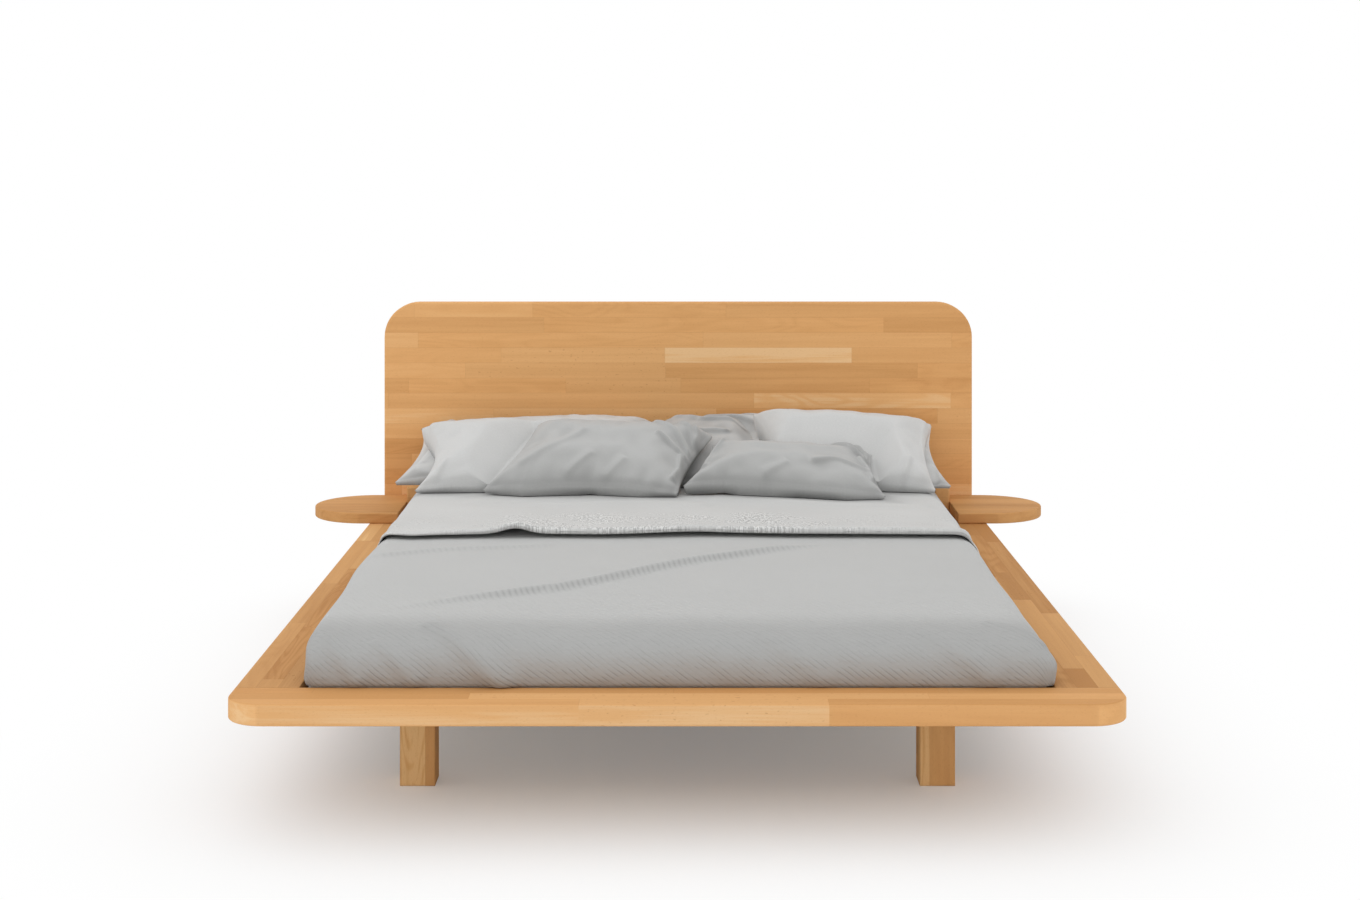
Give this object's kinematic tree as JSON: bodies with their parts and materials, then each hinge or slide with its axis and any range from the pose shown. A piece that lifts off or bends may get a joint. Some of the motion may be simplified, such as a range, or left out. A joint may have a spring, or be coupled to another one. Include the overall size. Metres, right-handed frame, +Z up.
{
  "type": "wooden bed",
  "caption": "Low wooden double bed with a wide surround, recessed legs, a tall panel headboard, half-round bedside shelves, a slatted base, mattress and made-up bedding.",
  "frame": {"origin": "on the floor, midway between the two bedside shelves' outer ends and midway between the foot board's front face and the headboard's back face", "axes": "+Z up, +Y from the foot of the bed to the headboard, +X to the right as seen by a person standing at the foot and facing the headboard"},
  "size_m": [1.982, 2.173, 0.828],
  "materials": {
    "beech_boards": "oiled beech staves along each board, satin",
    "beech_panel": "oiled beech staves along the panel, satin",
    "beech_shelves": "oiled beech staves, satin",
    "beech_under": "oiled beech, satin",
    "beech_legs": "oiled beech, satin",
    "birch_slats": "planed birch, matt",
    "dowel_wood": "fluted beech dowel, matt",
    "fastening_steel": "zinc plated",
    "mattress_ticking": "woven ticking",
    "duvet_cotton": "fine ribbed cotton",
    "linen_cotton": "speckled cotton",
    "cushion_cotton": "plain cotton"
  },
  "bodies": {
    "root": {"foot_rail": "beech_boards", "side_rail_left": "beech_boards", "side_rail_right": "beech_boards", "headboard": "beech_panel", "headboard_block_left": "beech_shelves", "headboard_block_right": "beech_shelves", "shelf_left": "beech_shelves", "shelf_right": "beech_shelves", "apron_left": "beech_under", "apron_right": "beech_under", "ledger_left": "beech_under", "ledger_right": "beech_under", "head_rail": "beech_under", "cross_beam_foot": "beech_under", "cross_beam_head": "beech_under", "centre_beam": "beech_under", "leg_foot_left": "beech_legs", "leg_foot_right": "beech_legs", "leg_head_left": "beech_legs", "leg_head_right": "beech_legs", "centre_leg": "beech_legs", "slat_01": "birch_slats", "slat_02": "birch_slats", "slat_03": "birch_slats", "slat_04": "birch_slats", "slat_05": "birch_slats", "slat_06": "birch_slats", "slat_07": "birch_slats", "slat_08": "birch_slats", "slat_09": "birch_slats", "slat_10": "birch_slats", "slat_11": "birch_slats", "slat_12": "birch_slats", "slat_13": "birch_slats", "slat_14": "birch_slats", "slat_15": "birch_slats", "dowels": "dowel_wood", "corner_plates": "fastening_steel", "plate_screws": "fastening_steel", "leg_bolts": "fastening_steel", "beam_screws": "fastening_steel", "headboard_bolts": "fastening_steel", "shelf_screws": "fastening_steel", "apron_screws": "fastening_steel", "ledger_screws": "fastening_steel", "slat_screws": "fastening_steel", "mattress": "mattress_ticking", "duvet": "duvet_cotton", "turned_back_sheet": "linen_cotton", "pillow_back_left": "linen_cotton", "pillow_back_right": "linen_cotton", "pillow_front_left": "linen_cotton", "pillow_front_right": "linen_cotton", "cushion_left": "cushion_cotton", "cushion_right": "cushion_cotton"}
  },
  "joints": []
}
